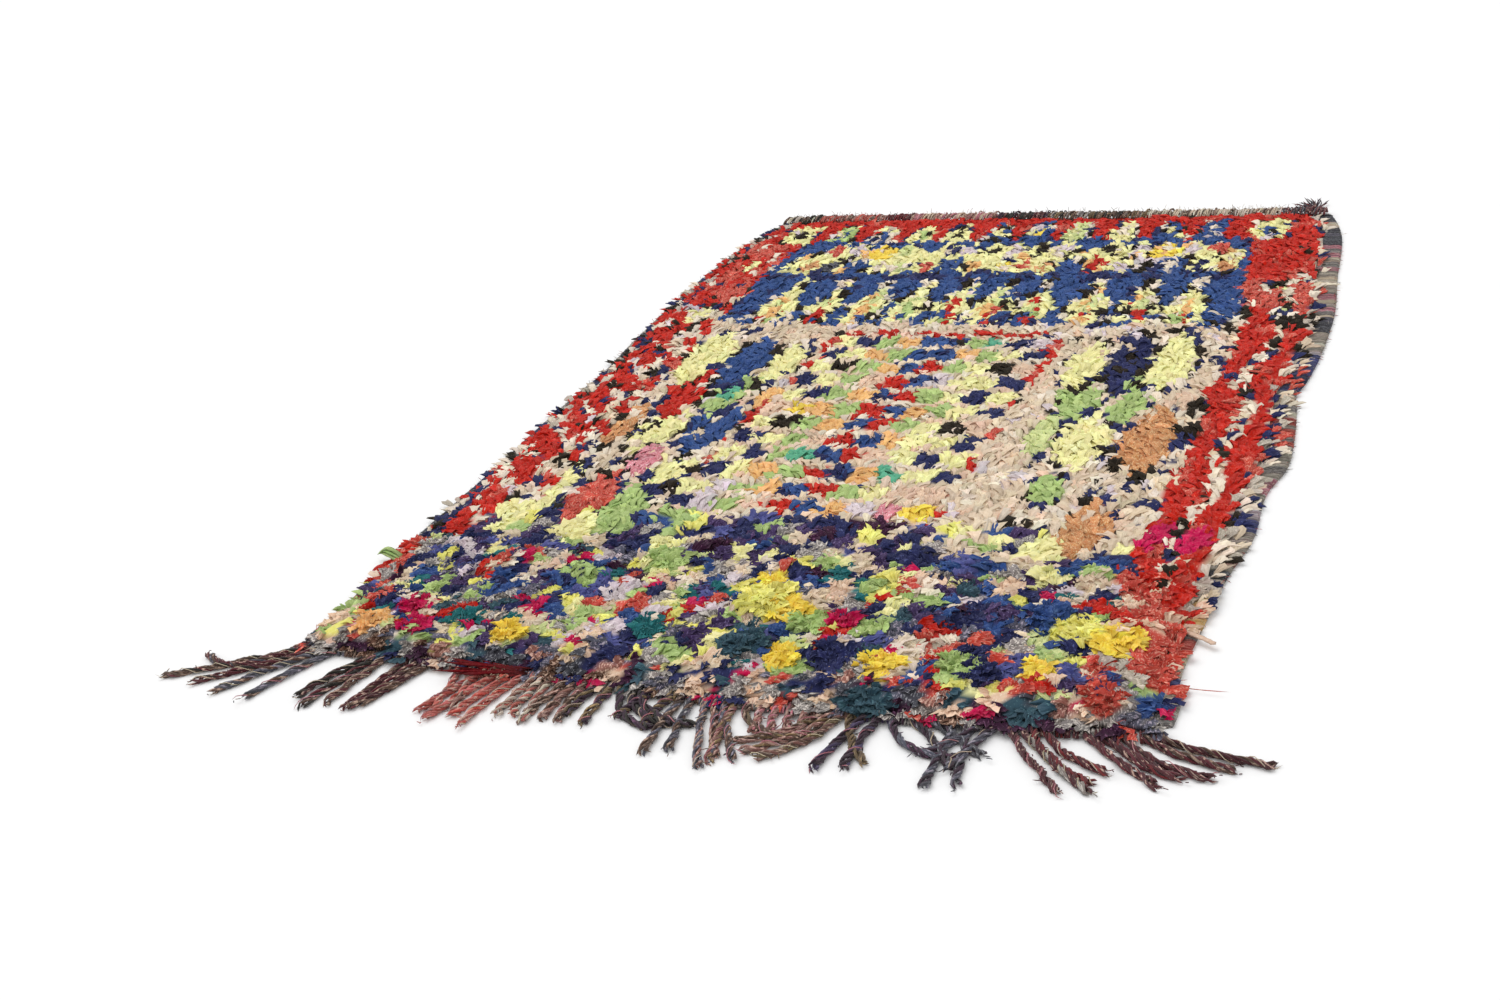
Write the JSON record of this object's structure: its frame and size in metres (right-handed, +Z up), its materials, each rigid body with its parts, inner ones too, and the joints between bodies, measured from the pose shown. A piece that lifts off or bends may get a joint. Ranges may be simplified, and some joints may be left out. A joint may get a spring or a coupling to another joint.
{
  "type": "boucherouite rug",
  "caption": "Flat shaggy rag rug with a knotted rag pile, overcast sides, a twined back end and a loose warp fringe along the front.",
  "frame": {"origin": "middle of the underside of the knotted field, on the floor that the rug lies on", "axes": "+X across the rug to its right side, +Y along the rug from the fringed front to the twined back, +Z up out of the pile"},
  "size_m": [1.745, 2.5266, 0.0403],
  "materials": {
    "knotted_rags": "matt cotton and synthetic rag strips of many colours, cut short and knotted",
    "selvedge_wrap": "matt mixed yarn wound over the edge warps in bands of grey, cream, navy and black",
    "twined_end": "matt looped yarn in brown, black, pink and cream",
    "warp_yarn": "matt plied wool in burgundy, brown, grey and salmon with cream flecks",
    "tuft_yarn": "matt burgundy and grey wool yarn"
  },
  "bodies": {
    "root": {"pile_field": "knotted_rags", "selvedge_left": "selvedge_wrap", "selvedge_right": "selvedge_wrap", "end_band": "twined_end", "fringe_front": "warp_yarn", "corner_tuft": "tuft_yarn"}
  },
  "joints": []
}
